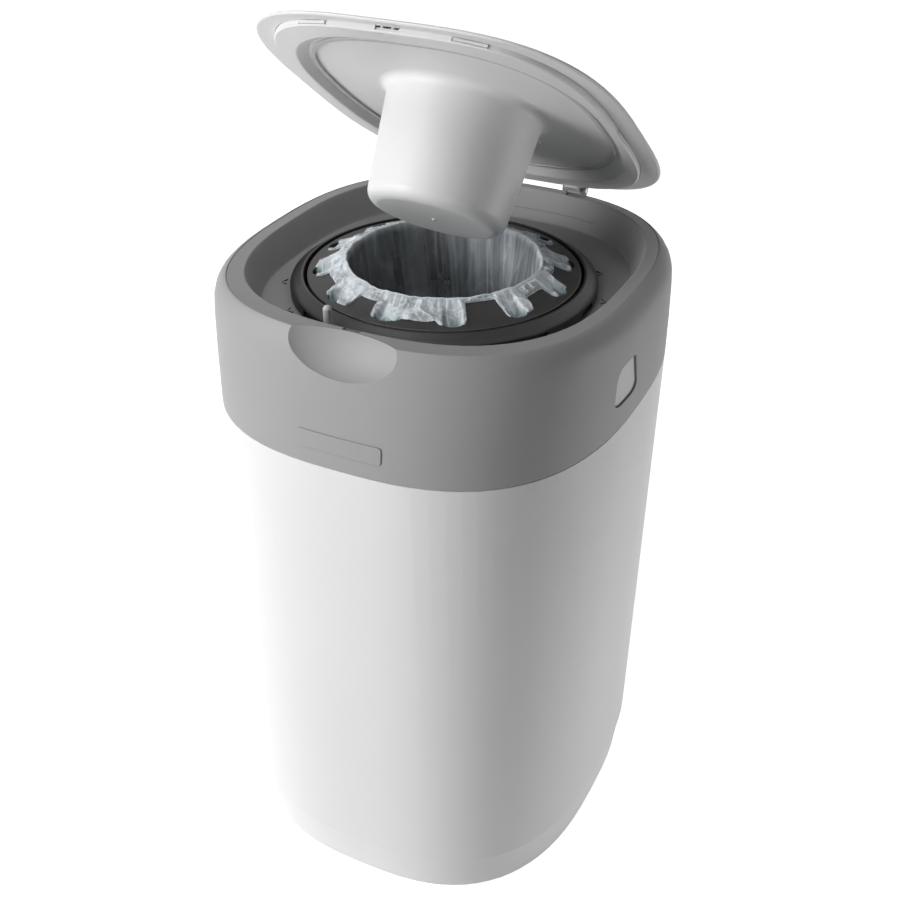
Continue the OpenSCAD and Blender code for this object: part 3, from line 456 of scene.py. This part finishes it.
def down_throat(cx, cy, around, t, lip_in, lip_up):
    """The film from the lip, t = 0, down the throat to its tied bottom, t = 1."""
    # sunny is 1 on the throat's side towards the right and back, which the light falls on: the
    # film there gets deeper fine pleats, and is painted milkier and more creased, a painted
    # highlight of that lit side
    sunny = ease(-0.75, 0.35, cx * 0.86 + cy * 0.5)
    f = t ** 1.25 * (len(throat) - 1)
    i = min(int(f), len(throat) - 2)
    r, z = [a + (b - a) * (f - i) for a, b in zip(throat[i], throat[i + 1])]
    near = 1 - ease(0, 6, throat_top - z)
    fall = ease(0, 46, throat_top - z)
    lean = around + 0.0011 * (throat_top - z)
    tx, ty = cos(lean), sin(lean)
    broad = ridge(tx * 3.0, ty * 3.0, z * 0.003, 0.4)
    fine = ridge(tx * 8, ty * 8, 4 + z * 0.003, 0.6)
    r += lip_in * near
    z += lip_up * near
    r -= fall * (5.5 * (1 - broad) + (0.8 + 1.6 * sunny) * (1 - fine)) * min(1, r / 50)
    fold = (0.10 + 0.35 * sunny) * ridge(tx * 8, ty * 8, 4 + z * 0.003, 2)
    fold += (0.03 + 0.35 * sunny) * ridge(tx * 19, ty * 19, 9 + z * 0.006, 2)
    fold += 0.40 * ridge(tx * 3.0, ty * 3.0, z * 0.003, 1)
    fold += 0.75 * (1 - ease(0.1, 0.9, abs(z - throat_top - 0.4 - lip_up)))
    milk = 0.25 + 0.14 * sunny + 0.26 * wave(tx * 4.2, ty * 4.2, z * 0.003)
    return r, z, fold, milk + 0.25 * near, 0.0, (throat_top - z) / 1000 + throat_start


def film_point(around, down):
    """Radius, height, creases, milkiness, gap shade and length along the sheet of a point."""
    cx, cy = cos(around), sin(around)
    lip_in = 1.1 * wave(cx * 3.1, cy * 3.1, 4.4) + 0.5 * wave(cx * 11, cy * 11, 2.2)
    lip_up = 0.9 * wave(cx * 4.3, cy * 4.3, 8.1) + 0.6 * wave(cx * 13, cy * 13, 5.2)
    if down < cap_share:
        return over_cap(cx, cy, around, down / cap_share, lip_in, lip_up)
    return down_throat(cx, cy, around, (down - cap_share) / (1 - cap_share), lip_in, lip_up)


film_mesh = bpy.data.meshes.new("film_sleeve")
sheet = bmesh.new()
columns, rows = gaps * 56, 124
sheet_r = 0.068
crumple_cap, crumple_throat = 0.6, 0.2
bmesh.ops.create_grid(sheet, x_segments=columns, y_segments=rows, size=0.5)
crease_mark = sheet.verts.layers.float.new("fold")
milk_mark = sheet.verts.layers.float.new("milk")
shade_mark = sheet.verts.layers.float.new("shade")
net_mark = sheet.verts.layers.float.new("net")
place_mark = sheet.verts.layers.float_vector.new("sheet")
for vert in sheet.verts:
    around = min(vert.co.x + 0.5, 0.999999) * 2 * pi
    r, z, fold, milk, shade, along = film_point(around, 0.5 - vert.co.y)
    vert.co = (r * cos(around) / 1000, axis_y + r * sin(around) / 1000, z / 1000)
    vert[crease_mark] = min(1, max(0, fold))
    vert[milk_mark] = min(1, max(0, milk))
    vert[shade_mark] = shade
    vert[net_mark] = crumple_cap if along < throat_start else crumple_throat
    vert[place_mark] = (sheet_r * cos(around), sheet_r * sin(around), along)
bmesh.ops.remove_doubles(sheet, verts=sheet.verts, dist=0.00001)
bmesh.ops.recalc_face_normals(sheet, faces=sheet.faces)
for face in sheet.faces:
    face.smooth = True
sheet.to_mesh(film_mesh)
sheet.free()

film = bpy.data.materials.new("film")
film.use_nodes = True
nodes, links = film.node_tree.nodes, film.node_tree.links
milky = nodes["Principled BSDF"]
milky.inputs["Roughness"].default_value = 0.25
milky.inputs["IOR"].default_value = 1.5


def film_mark(name):
    """Reads one of the marks that the sheet carries."""
    node = nodes.new("ShaderNodeAttribute")
    node.attribute_name = name
    return node


def blend(kind, a, b, c=None):
    """One sum on the film's marks; a, b and c are sockets or numbers."""
    node = nodes.new("ShaderNodeMath")
    node.operation = kind
    for socket, value in zip(node.inputs, (a, b, c)):
        if isinstance(value, (int, float)):
            socket.default_value = value
        elif value is not None:
            links.new(value, socket)
    return node.outputs[0]


# crumple lines, drawn out a little down the sleeve and caught by the light
laid = nodes.new("ShaderNodeMapping")
laid.inputs["Scale"].default_value = (1, 1, 0.5)
links.new(film_mark("sheet").outputs["Vector"], laid.inputs["Vector"])
lines = []
for scale, low in ((38, 0.80), (105, 0.84)):
    crease = nodes.new("ShaderNodeTexNoise")
    crease.noise_type = "RIDGED_MULTIFRACTAL"
    crease.normalize = False
    crease.inputs["Scale"].default_value = scale
    crease.inputs["Detail"].default_value = 0
    crease.inputs["Offset"].default_value = 1.0
    crease.inputs["Distortion"].default_value = 0.4
    links.new(laid.outputs["Vector"], crease.inputs["Vector"])
    line = nodes.new("ShaderNodeMapRange")
    line.inputs["From Min"].default_value = low
    line.inputs["From Max"].default_value = 1.0
    line.interpolation_type = "SMOOTHSTEP"
    links.new(crease.outputs["Fac"], line.inputs["Value"])
    lines.append(line.outputs["Result"])
patch = nodes.new("ShaderNodeTexNoise")
patch.inputs["Scale"].default_value = 130
patch.inputs["Detail"].default_value = 2
links.new(laid.outputs["Vector"], patch.inputs["Vector"])
# lines show only here and there, where the sheet is truly creased
shown = blend("MULTIPLY", patch.outputs["Fac"], film_mark("net").outputs["Fac"])
net_sum = blend("MULTIPLY", blend("MULTIPLY_ADD", lines[1], 0.4, lines[0]), shown)
whole = blend("MULTIPLY_ADD", film_mark("fold").outputs["Fac"], 0.5, net_sum)
veil = blend("MULTIPLY_ADD", patch.outputs["Fac"], 0.22, film_mark("milk").outputs["Fac"])
thick = blend("ADD", blend("SUBTRACT", veil, 0.11), whole)
milk = nodes.new("ShaderNodeMapRange")
milk.inputs["From Min"].default_value = 0.0
milk.inputs["From Max"].default_value = 1.0
milk.inputs["To Min"].default_value = 0.04
milk.inputs["To Max"].default_value = 0.93
links.new(thick, milk.inputs["Value"])
links.new(milk.outputs["Result"], milky.inputs["Alpha"])
tint = nodes.new("ShaderNodeValToRGB")
tint.color_ramp.elements[0].color = (0.54, 0.57, 0.60, 1)
tint.color_ramp.elements[1].color = (0.88, 0.95, 1.0, 1)
tint.color_ramp.elements[0].position = 0.25
tint.color_ramp.elements[1].position = 0.95
links.new(thick, tint.inputs["Fac"])
# where the film dips down into the gaps it is turned a darker teal: painted shade of those
# hollows
teal = nodes.new("ShaderNodeMix")
teal.data_type = "RGBA"
teal.inputs["B"].default_value = (0.16, 0.42, 0.44, 1)
links.new(blend("MULTIPLY", film_mark("shade").outputs["Fac"], 0.75), teal.inputs["Factor"])
links.new(tint.outputs["Color"], teal.inputs["A"])
links.new(teal.outputs["Result"], milky.inputs["Base Color"])
bump = nodes.new("ShaderNodeBump")
bump.inputs["Strength"].default_value = 0.6
bump.inputs["Distance"].default_value = 0.0006
links.new(blend("ADD", whole, patch.outputs["Fac"]), bump.inputs["Height"])
links.new(bump.outputs["Normal"], milky.inputs["Normal"])

finish_piece("film_sleeve", film_mesh, "cassette", ["film_bag"], film)

# ---------------------------------------------------------------- film pack
# The unused film, a long sleeve pushed together into tight folds round the
# core tube inside the cassette.
film_folds = plastic("film_folds", (0.50, 0.62, 0.66), 0.3, mottle=0.2)
finish_piece("film_folds", moulded("film_pack", 0), "cassette", ["film_pack"], film_folds)

# ---------------------------------------------------------------- lid cover
# The lid's outer shell: a thin domed moulding in the tub's white plastic,
# snapped over the liner.
finish_piece("lid_shell", moulded("lid_cover", 0.0004), "lid", ["lid_cover"],
             white_shell)

# ---------------------------------------------------------------- lid liner
# The lid's inner shell, white too, with a flat band, a dished floor and the
# two knuckles that swing on the pins.
finish_piece("lid_inner", moulded("lid_liner", 0.0004), "lid", ["lid_liner"],
             white_shell)

# ---------------------------------------------------------------- lid seal
# A thin soft grey ring of rubber on the liner's dished floor, at the foot of
# its slope.
seal = plastic("seal", (0.55, 0.55, 0.56), 0.6)
finish_piece("seal_ring", moulded("lid_seal", 0.0003), "lid", ["lid_seal"], seal)

# ---------------------------------------------------------------- lid clips
# Four flat white snap clips set into the liner's outer wall, two in front and
# one at each side.
finish_piece("edge_clips", moulded("lid_clips", 0.0002), "lid", ["lid_clips"],
             white_shell)

# ---------------------------------------------------------------- lid catch
# A short white keeper in the front band of the lid; it meets the slot in the
# deck when the lid is shut.
finish_piece("keeper", moulded("lid_catch", 0.0002), "lid", ["lid_catch"],
             white_shell)

# ---------------------------------------------------------------- plunger
# The hollow push-down cup, a separate white moulding hung in the liner. It
# is turned here in one skin with the rounded root that it runs into.
# Lengths are in millimetres, with the lid shut; the cup is then swung open.
hinge = Vector(joints["lid_hinge"]["pos_m"])
shut = radians(joints["lid_hinge"]["range_deg"][0])
lid_swing = (Matrix.Translation(hinge) @ Matrix.Rotation(shut, 4, "X")
             @ Matrix.Translation(-hinge))
foot_r, foot_z = 46.7, 381.0
cup_r, cup_top = 51.6, 451.6
floor_z = 458.1
foot_round, root_round = 9, 6.5
proud = 0.05
wall = 2
outline = [(0, foot_z - proud)]
for angle in range(0, 87, 6):
    outline.append((foot_r - foot_round + (foot_round + proud) * sin(radians(angle)),
                    foot_z + foot_round - (foot_round + proud) * cos(radians(angle))))
for i in range(1, 7):
    outline.append((foot_r + proud + (cup_r - foot_r) * i / 6,
                    foot_z + foot_round + (cup_top - foot_z - foot_round) * i / 6))
for angle in range(15, 91, 15):
    outline.append((cup_r + root_round - (root_round - proud) * cos(radians(angle)),
                    cup_top + (root_round - proud) * sin(radians(angle))))
# back inside: the hidden side, one wall in from the outside
outline += [(cup_r + root_round, floor_z + 0.2), (cup_r - wall, floor_z + 0.2),
            (cup_r - wall - 0.2, cup_top + 4), (cup_r - wall - 2.2, cup_top + 4),
            (cup_r - wall - 2.2, cup_top - 2), (foot_r - wall, foot_z + 8),
            (foot_r - 8, foot_z + wall), (0, foot_z + wall)]
cup = bmesh.new()
ring = [cup.verts.new((x / 1000, axis_y, z / 1000)) for x, z in outline]
edges = [cup.edges.new(pair) for pair in zip(ring, ring[1:])]
bmesh.ops.spin(cup, geom=ring + edges, cent=(0, axis_y, 0), axis=(0, 0, 1), angle=2 * pi,
               steps=144, use_merge=True)
bmesh.ops.remove_doubles(cup, verts=cup.verts, dist=0.000005)
bmesh.ops.recalc_face_normals(cup, faces=cup.faces)
# the small mark that the moulding gate leaves at the middle
gate_r = 0.0016
gate = bmesh.ops.create_uvsphere(cup, u_segments=20, v_segments=10, radius=gate_r)["verts"]
bmesh.ops.scale(cup, vec=(1, 1, 0.5), verts=gate)
bmesh.ops.translate(cup, vec=(0, axis_y, foot_z / 1000), verts=gate)
bmesh.ops.transform(cup, matrix=lid_swing, verts=cup.verts)
for face in cup.faces:
    face.smooth = True
cup_mesh = bpy.data.meshes.new("plunger_cup")
cup.to_mesh(cup_mesh)
cup.free()
cup_mesh.set_sharp_from_angle(angle=radians(40))
finish_piece("plunger_cup", cup_mesh, "lid", ["lid_plunger"], white_shell)
